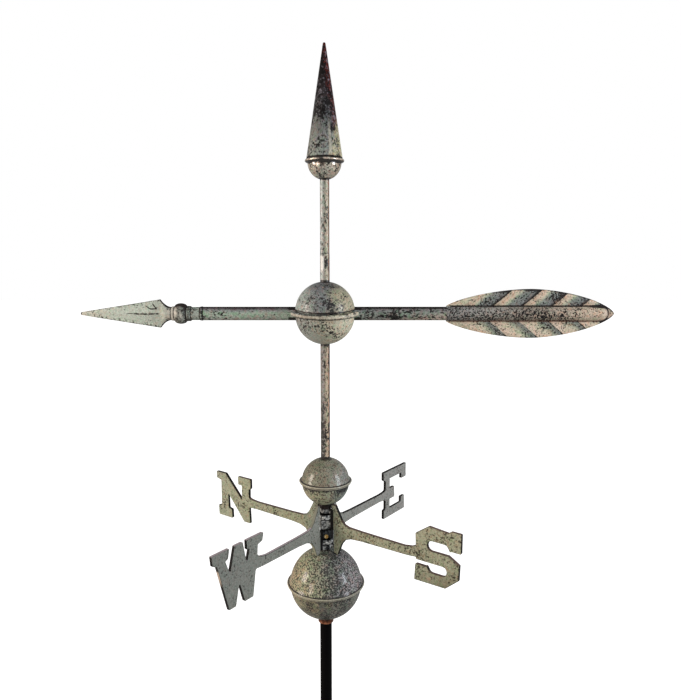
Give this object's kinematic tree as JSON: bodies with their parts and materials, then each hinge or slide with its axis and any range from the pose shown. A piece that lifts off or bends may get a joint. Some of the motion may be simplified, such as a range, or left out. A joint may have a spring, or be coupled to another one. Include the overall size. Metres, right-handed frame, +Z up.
{
  "type": "weathervane",
  "caption": "Arrow weathervane on a rod, with a cone finial, a flanged centre ball, stacked globes and crossed arms carrying slab compass letters, in weathered copper and brass.",
  "frame": {"origin": "centre of the rod's lower end, where it stands in its roof socket", "axes": "+Z up along the rod, -X towards the arrow's point at rest, -Y towards the viewer of the picture"},
  "size_m": [0.7189, 0.3531, 0.9184],
  "materials": {
    "verdigris_copper": "pale green and black speckled patina under lacquer",
    "darkened_copper": "dark brown weathered copper",
    "bright_copper": "bare orange copper",
    "patinated_brass_warm": "khaki patina with brown mottling",
    "patinated_brass_cool": "blue-grey patina",
    "bright_brass": "bare yellow brass",
    "black_paint": "satin"
  },
  "bodies": {
    "base": {"mounting_rod": "black_paint", "lower_copper_collar": "bright_copper", "lower_globe_bottom_half": "verdigris_copper", "lower_globe_top_half": "verdigris_copper", "compass_west_east": "patinated_brass_cool", "compass_north_south": "patinated_brass_warm", "set_screw": "bright_brass", "upper_copper_collar": "bright_copper", "upper_globe_bottom_half": "verdigris_copper", "upper_globe_top_half": "verdigris_copper"},
    "vane": {"vane_tube_lower": "verdigris_copper", "ball_lower_half": "verdigris_copper", "ball_upper_half": "verdigris_copper", "vane_tube_upper": "verdigris_copper", "finial_cup": "darkened_copper", "finial_cone": "darkened_copper", "arrow_shaft": "darkened_copper", "arrowhead": "verdigris_copper", "feather": "verdigris_copper"}
  },
  "joints": [
    {"name": "vane_spin", "type": "hinge", "parent": "base", "child": "vane", "pos_m": [0, 0, 0.57], "axis": [0, 0, 1], "continuous": true}
  ]
}
